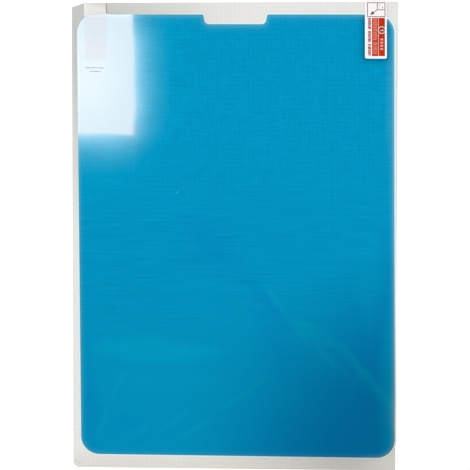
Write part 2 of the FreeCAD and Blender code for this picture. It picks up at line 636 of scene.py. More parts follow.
@dataclass(frozen=True)
class ReleaseFilm(Finish):
    """Gloss blue film over the adhesive, with painted sheen and painted shade on its creases, painted shade
    towards its lower right corner and painted light along its right side; the sheet's grid shows faintly
    through.
    """

    name: str = "release_film"
    corner_radius: float = 10.0
    notch_middle: float = 0.25
    notch_half: Point = (17.5, 5.25)
    notch_radius: float = 2.6
    notch_lean_deg: float = 12.0
    blue: Colour = (0.0008, 0.290, 0.525)
    # painted shade: the film deeper blue towards its lower right corner and on the dark side of its creases
    shaded_blue: Colour = (0.0008, 0.232, 0.520)
    shade_towards: Point = (0.763, -0.646)
    shade_reach: Point = (45.0, 115.0)
    shade_uneven: float = 24.0
    # painted sheen on the creases and painted light along the right side take the film towards this green
    sheen_green: Colour = (0.0010, 0.372, 0.540)
    crease_sheen_and_shade: tuple[LeafPatch, ...] = CREASE_SHEEN_AND_SHADE
    crease_wander: Point = (5.0, 9.0)
    fold_wander: Point = (1.6, 8.0)
    fold_width: float = 3.0
    # painted light along the film's right side, which lifts the flag's shade there
    glow: LeafPatch = LeafPatch((86.5, -10.0), (86.5, -160.0), 13.0, 1.0)
    painted_glow_green: float = 0.50
    painted_glow_tone: float = 0.12
    dust: Colour = (0.03, 0.42, 0.62)
    dust_specks: tuple[LeafPatch, ...] = (
        LeafPatch((-34.0, 22.6), (-30.0, 25.6), 0.50, 0.50, 0.8),
        LeafPatch((-33.2, 24.1), (-32.0, 24.3), 0.40, 0.60, 0.6),
    )
    tone: float = 1.03
    dim_reach: Point = (-125.0, 75.0)
    dim_tone: float = -0.13
    cloud_size: float = 45.0
    cloud_tone: float = 0.05
    grain_size: float = 1.2
    grain_tone: float = 0.05
    tab_shade: Colour = (0.0008, 0.230, 0.462)
    tab_border: Point = (-0.2, 0.4)
    shadow_tone: float = -0.54
    shadow_fade: float = -0.6
    shadow_line_tone: float = -0.11
    shadow_line_reach: Point = (0.7, 1.2)
    shine_x: Point = (-57.0, -51.0)
    shine_y: Point = (52.0, 58.0)
    shine_cover: float = 0.85
    grid_pitch: float = 2.5
    grid_line: float = 0.2
    grid_low: float = 0.45
    grid_reach: Point = (-90.0, 40.0)
    grid_tone: float = -0.09
    thread_size: float = 0.6
    thread_length: float = 12.0
    upright_share: float = 0.7
    woven_reach: Point = (0.0, 60.0)
    level_length: float = 32.0
    level_reach: Point = (-75.0, -25.0)
    thread_tone: float = 0.31
    edge_pale: Colour = (0.36, 0.70, 0.74)
    border: Border = Border(0.40, 1.1)
    left_border: Border = Border(-0.02, 0.8)
    left_reach: Point = (-84.0, -60.0)
    right_border: Border = Border(0.24, 0.30)
    right_reach: Point = (60.0, 84.0)
    low_border: Border = Border(-0.27, 0.3)
    low_reach: Point = (-118.0, -100.0)
    corner_reach: Point = (66.0, 82.0)
    pale_border: Border = Border(0.10, -0.35)
    pale_side: Point = (86.5, -96.0)
    pale_reach: Point = (3.0, 14.0)
    crisp_border: Border = Border(0.07, 0.35)
    crisp_side: Point = (86.5, -40.0)
    crisp_reach: Point = (15.0, 55.0)
    veil: float = 0.029
    veil_x: Point = (76.0, 80.0)
    veil_y: Point = (35.0, 60.0)
    veil_depth: Point = (3.9, 4.9)
    edge_shade: Colour = (0.03, 0.16, 0.10)
    dark: float = 0.40
    dark_corner: float = 0.15
    dark_right: float = -0.28
    dark_right_reach: Point = (-30.0, 30.0)
    dark_depth: Point = (0.2, 1.0)
    wave_size: float = 34.0
    wave_height: float = 0.022
    fine_size: float = 0.9
    fine_height: float = 0.0009
    roughness: float = 0.022
    grain_roughness: float = 0.01
    ior: float = 1.5

    def edge_distance(self, graph: Graph) -> Value:
        """How far a point lies inside the film's outline.

        Args:
            graph: The material's nodes.

        Returns:
            The distance.
        """
        half = span(RELEASE)[1]
        outline = graph.rounded_box((0.0, 0.0), half, self.corner_radius)
        lean = math.tan(math.radians(self.notch_lean_deg))
        notch = graph.rounded_box((self.notch_middle, half[1]), self.notch_half, self.notch_radius, lean)
        return (-outline).at_most(notch)

    def lit_and_shaded(self, graph: Graph, cloud: Value, glow: Value) -> bpy.types.NodeSocket:
        """The film's blue, with painted shade towards one corner, the painted sheen and painted shade of
        its creases, painted light along its right side, and the front tab below it.

        Args:
            graph: The material's nodes.
            cloud: A wide unevenness.
            glow: Painted light along the film's right side, which makes it greener and lighter.

        Returns:
            The colour.
        """
        x, y = graph.plane()
        towards = x * self.shade_towards[0] + y * self.shade_towards[1] + self.shade_uneven * cloud
        # painted shade towards the lower right corner
        colour = graph.mix(graph.step(towards, *self.shade_reach), self.blue, self.shaded_blue)
        loose, firm = graph.wander(*self.crease_wander), graph.wander(*self.fold_wander)
        # painted sheen and painted shade on the creases
        for shaded_crease in self.crease_sheen_and_shade:
            patch = shaded_crease.patch(graph, firm if shaded_crease.half_width < self.fold_width else loose)
            colour = graph.mix(patch, colour, self.sheen_green if shaded_crease.strength > 0 else self.shaded_blue)
        colour = graph.mix(self.painted_glow_green * glow, colour, self.sheen_green)
        return graph.mix(graph.on_tab(FRONT_TAB, self.tab_border), colour, self.tab_shade)

    def weave(self, graph: Graph) -> Value:
        """What the film's threads, and the sheet's grid below them, add to its tone.

        Args:
            graph: The material's nodes.

        Returns:
            The addition, about 0.
        """
        _, y = graph.plane()
        size, length = self.thread_size, self.thread_length
        upright = graph.noise(size, Detail.SMOOTH, (1.0, length))
        woven = graph.noise(size, Detail.SMOOTH, (length, 1.0)) + self.upright_share * upright
        level = graph.noise(size, Detail.SMOOTH, (self.level_length, 1.0))
        level = level * graph.step(y, *self.level_reach)
        threads = level + (woven - level) * graph.step(y, *self.woven_reach)
        grid = graph.emboss(self.grid_pitch, self.grid_line)
        grid = grid * (self.grid_low + (1 - self.grid_low) * graph.step(y, *self.grid_reach))
        return self.thread_tone * threads + self.grid_tone * grid

    def tab_shadow(self, graph: Graph) -> Value:
        """What the shade round the back tab adds to the film's tone.

        Args:
            graph: The material's nodes.

        Returns:
            The addition, below 0.
        """
        away = graph.rounded_box(*plan(BACK_TAB), TAB_CORNER).at_least(0.0)
        line = 1 - graph.step(away, *self.shadow_line_reach)
        return self.shadow_tone * math.e ** (away * self.shadow_fade) + self.shadow_line_tone * line

    def edged(self, graph: Graph, colour: Linkable, shine: Value) -> bpy.types.NodeSocket:
        """Lays the film's pale border, and painted shade along its cut edge, over its colour.

        Args:
            graph: The material's nodes.
            colour: The film's colour.
            shine: Where the film mirrors a bright pane, which hides the painted shade.

        Returns:
            The colour with its border.
        """
        x, y = graph.plane()
        inside = self.edge_distance(graph)
        right = graph.step(x, *self.right_reach)
        low_end = 1 - graph.step(y, *self.low_reach)
        corner = low_end * graph.step(abs(x), *self.corner_reach)
        stretches = (
            (right, self.right_border),
            (1 - graph.step(x, *self.left_reach), self.left_border),
            (low_end - corner, self.low_border),
            (graph.near(self.pale_side, self.pale_reach), self.pale_border),
            (graph.near(self.crisp_side, self.crisp_reach), self.crisp_border),
        )
        pale, fade = self.border.pale, self.border.fade
        for stretch, border in stretches:
            pale, fade = pale + border.pale * stretch, fade + border.fade * stretch
        veil = self.veil * graph.step(x, *self.veil_x) * graph.step(y, *self.veil_y)
        veil = veil * (1 - graph.step(inside, *self.veil_depth))
        colour = graph.mix(pale * math.e ** -(inside * fade) + veil, colour, self.edge_pale)
        # painted shade: a dark line just inside the film's cut edge
        dark = self.dark + self.dark_corner * corner
        dark = dark + self.dark_right * right * graph.step(y, *self.dark_right_reach)
        dark = dark * (1 - shine) * (1 - graph.step(inside, *self.dark_depth))
        return graph.mix(dark, colour, self.edge_shade)

    def paint(self, graph: Graph) -> dict[str, Linkable]:
        """Adds the finish's nodes.

        Args:
            graph: The material's nodes.

        Returns:
            What goes into the shader's sockets, by their names.
        """
        x, y = graph.plane()
        cloud = graph.noise(self.cloud_size)
        grain = graph.noise(self.grain_size)
        # painted light along the right side
        glow = self.glow.patch(graph)
        shine = (1 - graph.step(x, *self.shine_x)) * graph.step(y, *self.shine_y)
        tone = self.tone + self.dim_tone * (1 - graph.step(y, *self.dim_reach))
        tone = tone + self.cloud_tone * cloud + self.grain_tone * grain + self.painted_glow_tone * glow
        tone = tone + self.weave(graph) * (1 - self.shine_cover * shine) + self.tab_shadow(graph)
        colour = graph.toned(self.lit_and_shaded(graph, cloud, glow), tone)
        for speck in self.dust_specks:
            colour = graph.mix(speck.patch(graph), colour, self.dust)
        relief = self.wave_height * graph.noise(self.wave_size, Detail.SMOOTH)
        relief = relief + self.fine_height * graph.noise(self.fine_size, Detail.SMOOTH)
        return {
            "Base Color": self.edged(graph, colour, shine),
            "Roughness": self.roughness + self.grain_roughness * grain,
            "IOR": self.ior,
            "Normal": graph.bump(relief * MM),
        }


@dataclass(frozen=True)
class LabelPaper(Finish):
    """Coated label paper with fibres along its length."""

    name: str
    white: Colour
    fibre_size: float = 0.3
    fibre_length: float = 6.0
    fibre_tone: float = 0.03
    fibre_height: float = 0.003
    cloud_size: float = 4.0
    cloud_tone: float = 0.03
    cloud_height: float = 0.0015
    roughness: float = 0.55
    fibre_roughness: float = 0.2
    specular: float = 0.15

    @abstractmethod
    def ground(self, graph: Graph) -> Linkable:
        """The paper's colour, before its fibres show in it.

        Args:
            graph: The material's nodes.

        Returns:
            The colour.
        """

    def paint(self, graph: Graph) -> dict[str, Linkable]:
        """Adds the finish's nodes.

        Args:
            graph: The material's nodes.

        Returns:
            What goes into the shader's sockets, by their names.
        """
        fibre = graph.noise(self.fibre_size, Detail.FINE, (1.0, self.fibre_length))
        cloud = graph.noise(self.cloud_size)
        tone = 1 + self.fibre_tone * fibre + self.cloud_tone * cloud
        height = fibre * (self.fibre_height * MM) + cloud * (self.cloud_height * MM)
        return {
            "Base Color": graph.toned(self.ground(graph), tone),
            "Roughness": self.roughness + self.fibre_roughness * fibre,
            "Specular IOR Level": self.specular,
            "Normal": graph.bump(height),
        }


@dataclass(frozen=True)
class LabelUnderFilm(LabelPaper):
    """Label paper from under the film, with painted shade towards its raised free corner and a painted
    highlight along its left edge.
    """

    name: str = "front_label"
    white: Colour = (0.74, 0.735, 0.715)
    # painted shade colour towards the curled free corner
    curl_shade: Colour = (0.635, 0.61, 0.592)
    curl_shade_reach: Point = (1.0, 4.5)
    slant: float = 0.22
    streak_size: float = 0.7
    streak_length: float = 9.0
    streak_shift: float = 2.0
    # painted highlight colour along the lit left edge
    edge: Colour = (0.86, 0.86, 0.84)
    edge_highlight_reach: Point = (0.3, 0.9)

    def ground(self, graph: Graph) -> Linkable:
        """The paper's colour, before its fibres show in it.

        Args:
            graph: The material's nodes.

        Returns:
            The colour.
        """
        x, y = graph.plane()
        (left, _), (right, top) = span(FRONT_TAB)
        streak = graph.noise(self.streak_size, Detail.SMOOTH, (self.streak_length, 1.0))
        from_end = top - y + self.slant * (right - x) + self.streak_shift * streak
        # painted shade towards the curled free corner
        colour = graph.mix(1 - graph.step(from_end, *self.curl_shade_reach), self.white, self.curl_shade)
        # painted highlight along the lit left edge
        return graph.mix(1 - graph.step(x - left, *self.edge_highlight_reach), colour, self.edge)


@dataclass(frozen=True)
class LabelOnFilm(LabelPaper):
    """Label paper whose rim takes a cool tint where it lies on the film."""

    name: str = "back_label"
    white: Colour = (0.875, 0.86, 0.865)
    rim: Colour = (0.735, 0.92, 1.0)
    rim_reach: Point = (0.5, 1.1)
    film_border: float = 0.5

    def ground(self, graph: Graph) -> Linkable:
        """The paper's colour, before its fibres show in it.

        Args:
            graph: The material's nodes.

        Returns:
            The colour.
        """
        inside = -graph.rounded_box(*plan(BACK_TAB), TAB_CORNER)
        film_top = span(RELEASE)[1][1]
        past_film = graph.step(graph.plane()[1], film_top - self.film_border, film_top + self.film_border)
        return graph.mix((1 - past_film) * (1 - graph.step(inside, *self.rim_reach)), self.white, self.rim)


class Ink(Enum):
    """The inks of the print, by the colour of their flat fields."""

    MAROON = (0.170, 0.012, 0.022)
    CRIMSON = (0.30, 0.014, 0.010)
    ROSE = (0.38, 0.045, 0.040)
    RED = (0.46, 0.030, 0.020)
    ORANGE = (0.49, 0.024, 0.002)
    BLUSH = (0.69, 0.21, 0.14)
    PINK = (0.76, 0.40, 0.33)
    WHITE = (0.84, 0.76, 0.73)
    SLATE = (0.42, 0.52, 0.57)


@dataclass(frozen=True)
class PrintInk(Finish):
    """Screen-printed ink, a little uneven in its cover."""

    ink: Ink
    cover_size: float = 0.5
    cover_tone: float = 0.25
    cover_height: float = 0.002
    cloud_size: float = 3.0
    cloud_tone: float = 0.12
    roughness: float = 0.5
    cover_roughness: float = 0.25
    specular: float = 0.05

    @property
    def name(self) -> str:
        """The material's name."""
        return f"ink_{self.ink.name.lower()}"

    def paint(self, graph: Graph) -> dict[str, Linkable]:
        """Adds the finish's nodes.

        Args:
            graph: The material's nodes.

        Returns:
            What goes into the shader's sockets, by their names.
        """
        cover = graph.noise(self.cover_size, Detail.FINE)
        tone = 1 + self.cover_tone * cover + self.cloud_tone * graph.noise(self.cloud_size)
        return {
            "Base Color": graph.toned(self.ink.value, tone),
            "Roughness": self.roughness + self.cover_roughness * cover,
            "Specular IOR Level": self.specular,
            "Normal": graph.bump(cover * (self.cover_height * MM)),
        }


@dataclass
class PrintPress:
    """Models flat printed shapes as thin raised plates on one level surface."""

    level: float
    slot: str
    ink_height: float = 0.012
    sunk: float = 0.004
    finishes: dict[Ink, bpy.types.Material] = field(default_factory=dict)
    field_rounding: int = 3
    bar_rounding: int = 2

    def place(self, point: Point) -> tuple[float, float, float]:
        """A point of the print's underside, in metres."""
        return point[0] * MM, point[1] * MM, (self.level - self.sunk) * MM

    def start(self, corners: int, centre: Point, radius: float, turn: float = 0.0) -> bpy.types.Object:
        """Adds a flat polygon on the surface and opens it for editing.

        Args:
            corners: How many corners it has.
            centre: Its middle.
            radius: From its middle to a corner.
            turn: Its turn, anticlockwise, in degrees.

        Returns:
            The new object, in edit mode with all of it selected.
        """
        bpy.ops.object.select_all(action="DESELECT")
        bpy.ops.mesh.primitive_circle_add(
            vertices=corners, radius=radius * MM, fill_type="NGON",
            location=self.place(centre), rotation=(0.0, 0.0, math.radians(turn)),
        )
        bpy.ops.object.transform_apply(location=True, rotation=True, scale=True)
        bpy.ops.object.mode_set(mode="EDIT")
        bpy.ops.mesh.select_all(action="SELECT")
        return bpy.context.object

    def start_box(self, low: Point, high: Point) -> bpy.types.Object:
        """Adds a flat rectangle between two corners and opens it for editing.

        Args:
            low: Its lower left corner.
            high: Its upper right corner.

        Returns:
            The new object, in edit mode with all of it selected.
        """
        centre = ((low[0] + high[0]) / 2, (low[1] + high[1]) / 2)
        made = self.start(4, centre, math.sqrt(0.5), 45.0)
        size = (high[0] - low[0], high[1] - low[1], 1.0)
        bpy.ops.transform.resize(value=size, center_override=self.place(centre))
        return made

    def round_corners(self, radius: float, segments: int) -> None:
        """Rounds the corners of the flat shape that is open for editing."""
        bpy.ops.mesh.bevel(affect="VERTICES", offset=radius * MM, segments=segments)
        bpy.ops.mesh.select_all(action="SELECT")

    def hollow(self, line: float) -> None:
        """Cuts the middle out of the flat shape that is open for editing.

        Args:
            line: The width of the line that is left.
        """
        bpy.ops.mesh.inset(thickness=line * MM)
        bpy.ops.mesh.delete(type="FACE")
        bpy.ops.mesh.select_all(action="SELECT")

    def raise_up(self) -> None:
        """Gives the flat shape that is open for editing its thickness and closes it."""
        height = (self.ink_height + self.sunk) * MM
        bpy.ops.mesh.extrude_region_move(TRANSFORM_OT_translate={"value": (0.0, 0.0, height)})
        bpy.ops.mesh.select_all(action="SELECT")
        bpy.ops.mesh.normals_make_consistent(inside=False)
        bpy.ops.object.mode_set(mode="OBJECT")

    def select(self, made: bpy.types.Object, test: Callable[[Vector], bool]) -> None:
        """Selects points of the shape that is open for editing, and no others.

        Args:
            made: The shape.
            test: Which points are selected, by their place in metres.
        """
        bpy.ops.mesh.select_all(action="DESELECT")
        bpy.ops.object.mode_set(mode="OBJECT")
        for vertex in made.data.vertices:
            vertex.select = test(vertex.co)
        bpy.ops.object.mode_set(mode="EDIT")

    def turn(self, made: bpy.types.Object, centre: Point, angle: float) -> None:
        """Turns a closed shape on the surface.

        Args:
            made: The shape.
            centre: The point that it turns about.
            angle: Its turn, anticlockwise, in degrees.
        """
        bpy.context.view_layer.objects.active = made
        bpy.ops.object.mode_set(mode="EDIT")
        bpy.ops.mesh.select_all(action="SELECT")
        turn, pivot = -math.radians(angle), self.place(centre)
        bpy.ops.transform.rotate(value=turn, orient_axis="Z", center_override=pivot)
        bpy.ops.object.mode_set(mode="OBJECT")

    def finish(self, made: bpy.types.Object, name: str, ink: Ink) -> bpy.types.Object:
        """Names, inks and attaches a finished shape.

        Args:
            made: The shape.
            name: The piece's name.
            ink: Its ink.

        Returns:
            The piece.
        """
        made.name = made.data.name = name
        if ink not in self.finishes:
            self.finishes[ink] = PrintInk(ink).material()
        made.data.materials.clear()
        made.data.materials.append(self.finishes[ink])
        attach(made, BODY)
        return made

    def plate(
        self, made: bpy.types.Object, name: str, ink: Ink, corner: float = 0.0, line: float = 0.0
    ) -> bpy.types.Object:
        """Prints the flat shape that is open for editing.

        Args:
            made: The shape.
            name: The piece's name.
            ink: Its ink.
            corner: Its corners' radius, or 0 where they stay as they are.
            line: Its outline's width, or 0 where it is filled.

        Returns:
            The piece.
        """
        if corner:
            self.round_corners(corner, self.field_rounding)
        if line:
            self.hollow(line)
        self.raise_up()
        return self.finish(made, name, ink)

    def bars(self, name: str, ink: Ink, boxes: list[Box], corner: float = 0.0) -> bpy.types.Object:
        """Prints small bars as one piece.

        Args:
            name: The piece's name.
            ink: Their ink.
            boxes: Each bar's lower left and upper right corner.
            corner: Their corners' radius, or 0 where they stay sharp.

        Returns:
            The piece.
        """
        (left, bottom), (right, top) = boxes[0]
        first = self.start_box(*boxes[0])
        if corner:
            self.round_corners(corner, self.bar_rounding)
        self.raise_up()
        made = [first]
        for low, high in boxes[1:]:
            bpy.ops.object.select_all(action="DESELECT")
            bar = first.copy()
            bar.data = first.data.copy()
            bpy.context.scene.collection.objects.link(bar)
            bar.select_set(True)
            bpy.context.view_layer.objects.active = bar
            bar.scale = ((high[0] - low[0]) / (right - left), (high[1] - low[1]) / (top - bottom), 1.0)
            bar.location = ((low[0] - left * bar.scale.x) * MM, (low[1] - bottom * bar.scale.y) * MM, 0.0)
            bpy.ops.object.transform_apply(location=True, rotation=True, scale=True)
            made.append(bar)
        for bar in made:
            bar.select_set(True)
        bpy.context.view_layer.objects.active = first
        bpy.ops.object.join()
        return self.finish(first, name, ink)


@dataclass(frozen=True)
class BarRow:
    """A row of printed bars, in groups with gaps, each bar a little unlike the next."""

    margin: float
    pitch: float
    group: int
    cover: float
    corner: float
    cover_sway: float = 0.10
    end_sway: float = 0.08
    split_every: int = 3
    split_sway: float = 0.15
    split_gap: float = 0.07
    cover_phase: float = 2.3
    start_phase: float = 3.1
    end_phase: float = 1.7
    split_phase: float = 4.3

    def runs(self, place: int, sides: Point) -> list[Point]:
        """The stretches across a strip that are inked at one place of the row.

        Args:
            place: The place's number.
            sides: How far the strip's sides lie across the tab.

        Returns:
            Where each stretch starts and ends.
        """
        width = sides[1] - sides[0]
        start = sides[0] + self.end_sway * width * (1 + math.sin(self.start_phase * place))
        end = sides[1] - self.end_sway * width * (1 + math.sin(self.end_phase * place))
        if place % self.split_every != 1:
            return [(start, end)]
        split = start + (0.5 + self.split_sway * math.sin(self.split_phase * place)) * (end - start)
        gap = self.split_gap * width
        return [(start, split - gap), (split + gap, end)]

    def bars(self, sides: Point, top: float, bottom: float) -> list[Box]:
        """Every bar of the row on a strip.

        Args:
            sides: How far the strip's sides lie across the tab.
            top: How far down the tab the strip starts.
            bottom: How far down the tab it ends.

        Returns:
            How far across and down the tab each bar's lower left and upper right corner lie.
        """
        boxes = []
        for place in range(int((bottom - top - 2 * self.margin) / self.pitch)):
            if place % self.group == self.group - 1:
                continue
            down = top + self.margin + place * self.pitch
            thick = self.pitch * (self.cover + self.cover_sway * math.sin(self.cover_phase * place))
            boxes += [((start, down + thick), (end, down)) for start, end in self.runs(place, sides)]
        return boxes


@dataclass
class PeelPrint:
    """The peel print on the back pull tab, placed from the tab's upper left corner."""

    left: float
    top: float
    level: float
    slot: str = "tab"
    upper_ink: float = 0.008
    highest_ink: float = 0.006
    frame_box: Box = ((1.26, 9.32), (11.04, 1.53))
    frame_line: float = 0.36
    box_corner: Point = (6.55, 5.66)
    dots: tuple[Point, Point] = ((8.08, 2.95), (9.55, 4.25))
    dot_radius: float = 0.27
    dot_corner: float = 0.14
    arrow_tip: Point = (2.85, 8.20)
    arrow_head: Point = (2.3, 1.9)
    arrow_line: float = 0.36
    strip_ends: Point = (9.80, 30.45)
    strip_corner: float = 0.15
    bar_sides: Point = (1.59, 3.37)
    red_sides: Point = (3.83, 7.29)
    orange_sides: Point = (7.47, 10.82)
    bar_row: BarRow = BarRow(margin=0.10, pitch=0.78, group=9, cover=0.86, corner=0.08)
    light_row: BarRow = BarRow(margin=0.30, pitch=0.92, group=14, cover=0.74, corner=0.10)
    light_insets: Point = (0.45, 0.40)
    ring_down: float = 16.4
    ring_radius: float = 2.0
    ring_line: float = 0.36
    ring_corners: int = 40
    numeral_size: Point = (0.40, 1.75)
    numeral_flag: Point = (0.48, 0.36)
    block_start: float = 20.95
    block_pitch: float = 1.72
    block_size: Point = (1.45, 0.95)
    block_count: int = 4
    block_corner: float = 0.15

    def at(self, across: float, down: float) -> Point:
        """The place of a point, from how far it lies across and down the tab."""
        return self.left + across, self.top - down

    def boxes_at(self, boxes: list[Box]) -> list[Box]:
        """The places of boxes, from how far their corners lie across and down the tab."""
        return [(self.at(*low), self.at(*high)) for low, high in boxes]

    def box_lines(self) -> list[Box]:
        """The small box's upright and its level line, which run up to the frame.

        Returns:
            How far across and down the tab each line's lower left and upper right corner lie.
        """
        line = self.frame_line
        left, low = self.box_corner
        right, high = self.frame_box[1]
        return [((left, low), (left + line, high + line)), ((left + line, low), (right - line, low - line))]

    def dot_boxes(self) -> list[Box]:
        """The squares round the dots, by how far their corners lie across and down the tab."""
        radius = self.dot_radius
        return [((x - radius, y + radius), (x + radius, y - radius)) for x, y in self.dots]

    def blocks(self) -> list[Box]:
        """The row of large blocks along the middle of the orange strip.

        Returns:
            How far across and down the tab each block's lower left and upper right corner lie.
        """
        middle, (across, along) = sum(self.orange_sides) / 2, self.block_size
        starts = [self.block_start + i * self.block_pitch for i in range(self.block_count)]
        return [((middle - across / 2, down + along), (middle + across / 2, down)) for down in starts]

    def arrow(self, press: PrintPress) -> bpy.types.Object:
        """Prints the arrow from the small box's corner.

        Args:
            press: What prints it.

        Returns:
            The piece.
        """
        tip_x, tip_y = tip = self.at(*self.arrow_tip)
        tail = self.at(*self.box_corner)
        head_length, head_width = self.arrow_head
        shaft = press.start_box(
            (tip_x + head_length, tip_y - self.arrow_line / 2),
            (tip_x + math.dist(tip, tail), tip_y + self.arrow_line / 2),
        )
        press.raise_up()
        head_middle = head_length * 2 / 3
        head = press.start(3, (tip_x + head_middle, tip_y), head_middle, 90.0)
        widen = head_width / (head_length * 2 / math.sqrt(3))
        bpy.ops.transform.resize(value=(1.0, widen, 1.0), center_override=press.place(tip))
        press.raise_up()
        shaft.select_set(True)
        bpy.ops.object.join()
        press.turn(head, tip, math.degrees(math.atan2(tail[1] - tip_y, tail[0] - tip_x)))
        return press.finish(head, "peel_arrow", Ink.MAROON)

    def numeral(self, press: PrintPress, centre: Point) -> bpy.types.Object:
        """Prints a plain figure one, its head towards the tab's right side.

        Args:
            press: What prints it.
            centre: Its middle.

        Returns:
            The piece.
        """
        stem, height = self.numeral_size
        flag_x, flag_y = self.numeral_flag
        left, low = centre[0] - stem / 2 + flag_x / 2, centre[1] - height / 2
        middle, head = (left + stem / 2) * MM, (low + height - stem) * MM
        made = press.start_box((left, low), (left + stem, low + height))
        bpy.ops.mesh.bisect(plane_co=(0.0, head, 0.0), plane_no=(0.0, 1.0, 0.0))
        press.select(made, lambda point: point.x < middle and point.y > head - TOLERANCE * MM)
        flag = (-flag_x * MM, -flag_y * MM, 0.0)
        bpy.ops.mesh.extrude_region_move(TRANSFORM_OT_translate={"value": flag})
        bpy.ops.mesh.select_all(action="SELECT")
        press.raise_up()
        press.turn(made, centre, -90.0)
        return press.finish(made, "peel_numeral", Ink.WHITE)

    def drawing(self, press: PrintPress) -> list[bpy.types.Object]:
        """Prints the drawing at the tab's upper end: a frame, a box in its corner, an arrow and dots.

        Args:
            press: What prints it.

        Returns:
            The pieces.
        """
        low, high = self.frame_box
        edge = press.start_box(self.at(*low), self.at(*high))
        return [
            press.plate(edge, "peel_frame", Ink.MAROON, line=self.frame_line),
            press.bars("peel_box", Ink.MAROON, self.boxes_at(self.box_lines())),
            self.arrow(press),
            press.bars("peel_dots", Ink.MAROON, self.boxes_at(self.dot_boxes()), self.dot_corner),
        ]

    def strips(self, press: PrintPress) -> list[bpy.types.Object]:
        """Prints the row of bars and the two strips below the drawing.

        Args:
            press: What prints them.

        Returns:
            The pieces.
        """
        top, bottom = self.strip_ends
        row = self.boxes_at(self.bar_row.bars(self.bar_sides, top, bottom))
        pieces = [press.bars("peel_word_bars", Ink.ROSE, row, self.bar_row.corner)]
        for name, ink, (left, right) in (
            ("peel_red_strip", Ink.RED, self.red_sides),
            ("peel_orange_strip", Ink.ORANGE, self.orange_sides),
        ):
            strip = press.start_box(self.at(left, bottom), self.at(right, top))
            pieces.append(press.plate(strip, name, ink, corner=self.strip_corner))
        return pieces

    def strip_print(self, press: PrintPress, highest: PrintPress) -> list[bpy.types.Object]:
        """Prints the light bars, the ring with its numeral and the blocks on the two strips.

        Args:
            press: What prints on the strips.
            highest: What prints the numeral on the disc in the ring.

        Returns:
            The pieces.
        """
        left, right = self.red_sides
        sides = (left + self.light_insets[0], right - self.light_insets[1])
        row = self.boxes_at(self.light_row.bars(sides, *self.strip_ends))
        ring = self.at(sum(self.orange_sides) / 2, self.ring_down)
        pieces = [press.bars("peel_light_bars", Ink.BLUSH, row, self.light_row.corner)]
        disc = press.start(self.ring_corners, ring, self.ring_radius - self.ring_line)
        pieces.append(press.plate(disc, "peel_disc", Ink.CRIMSON))
        hoop = press.start(self.ring_corners, ring, self.ring_radius)
        pieces.append(press.plate(hoop, "peel_ring", Ink.WHITE, line=self.ring_line))
        pieces.append(self.numeral(highest, ring))
        blocks = self.boxes_at(self.blocks())
        pieces.append(press.bars("peel_light_blocks", Ink.PINK, blocks, self.block_corner))
        return pieces

    def build(self) -> list[bpy.types.Object]:
        """Prints every shape on the tab, each level of print on the one below.

        Returns:
            The pieces.
        """
        ground = PrintPress(self.level, self.slot)
        inks = ground.finishes
        level = self.level + ground.ink_height
        upper = PrintPress(level, self.slot, self.upper_ink, finishes=inks)
        highest = PrintPress(level + self.upper_ink, self.slot, self.highest_ink, finishes=inks)
        return [*self.drawing(ground), *self.strips(ground), *self.strip_print(upper, highest)]


class Assembly(ABC):
    """A group of the part's pieces."""

    @abstractmethod
    def dress(self) -> None:
        """Gives the group's solids their finishes."""

    @abstractmethod
    def build(self) -> list[bpy.types.Object]:
        """Models what lies on the group's solids and returns all its pieces."""

    def put_on(self, node: str, finish: Finish) -> None:
        """Gives a solid's mesh its finish.

        Args:
            node: The solid's name.
            finish: Its finish.
        """
        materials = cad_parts[node].data.materials
        materials.clear()
        materials.append(finish.material())


@dataclass
class BackingSheet(Assembly):
    """The embossed sheet that the laminate lies on."""

    node: str = SHEET

    def dress(self) -> None:
        """Gives the sheet its embossed plastic."""
        self.put_on(self.node, EmbossedSheet())

    def build(self) -> list[bpy.types.Object]:
        """The sheet, which nothing is modelled on."""
        return [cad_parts[self.node]]


@dataclass
class Laminate(Assembly):
    """The protector film between its cover film and its blue release film."""

    cover: str = "front_cover_film"
    protector: str = "protector_film"
    release: str = RELEASE
    slot: str = "blue_film"
    dash_lines: tuple[tuple[float, float, float], ...] = ((-82.2, -72.0, 91.65), (-79.4, -73.2, 89.72))
    dash_height: float = 0.7
    dash_width: float = 0.85
    dash_sway: float = 0.35
    dash_phase: float = 2.1
    dash_gap: float = 0.3
    dash_corner: float = 0.12
    dash_ink: float = 0.004
    dash_sunk: float = 0.002

    def dashes(self) -> list[Box]:
        """The small dashes on the release film, in two lines below the front tab.

        Returns:
            Each dash's lower left and upper right corner.
        """
        boxes = []
        for row, (left, right, low) in enumerate(self.dash_lines):
            for i in count():
                width = self.dash_width + self.dash_sway * math.sin(self.dash_phase * i + row)
                if left + width > right:
                    break
                boxes.append(((left, low), (left + width, low + self.dash_height)))
                left += width + self.dash_gap
        return boxes

    def dress(self) -> None:
        """Gives the three films their finishes."""
        self.put_on(self.cover, ClearFilm())
        self.put_on(self.protector, ClearFilm())
        self.put_on(self.release, ReleaseFilm())

    def build(self) -> list[bpy.types.Object]:
        """Prints the small dashes on the release film.

        Returns:
            The films and the print.
        """
        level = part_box(self.release)[1].z / MM
        press = PrintPress(level, self.slot, self.dash_ink, self.dash_sunk)
        printed = press.bars("small_print_dashes", Ink.SLATE, self.dashes(), self.dash_corner)
        films = (self.cover, self.protector, self.release)
        return [*(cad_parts[node] for node in films), printed]


@dataclass
class PullTabs(Assembly):
    """The two labels that the films are peeled by: a blank one in front and a printed one behind."""

    front: str = FRONT_TAB
    back: str = BACK_TAB

    def dress(self) -> None:
        """Gives both labels their paper."""
        self.put_on(self.front, LabelUnderFilm())
        self.put_on(self.back, LabelOnFilm())

    def build(self) -> list[bpy.types.Object]:
        """Prints the back label.

        Returns:
            The labels and the print.
        """
        low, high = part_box(self.back)
        printed = PeelPrint(low.x / MM, high.y / MM, high.z / MM).build()
        return [*(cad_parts[node] for node in (self.front, self.back)), *printed]


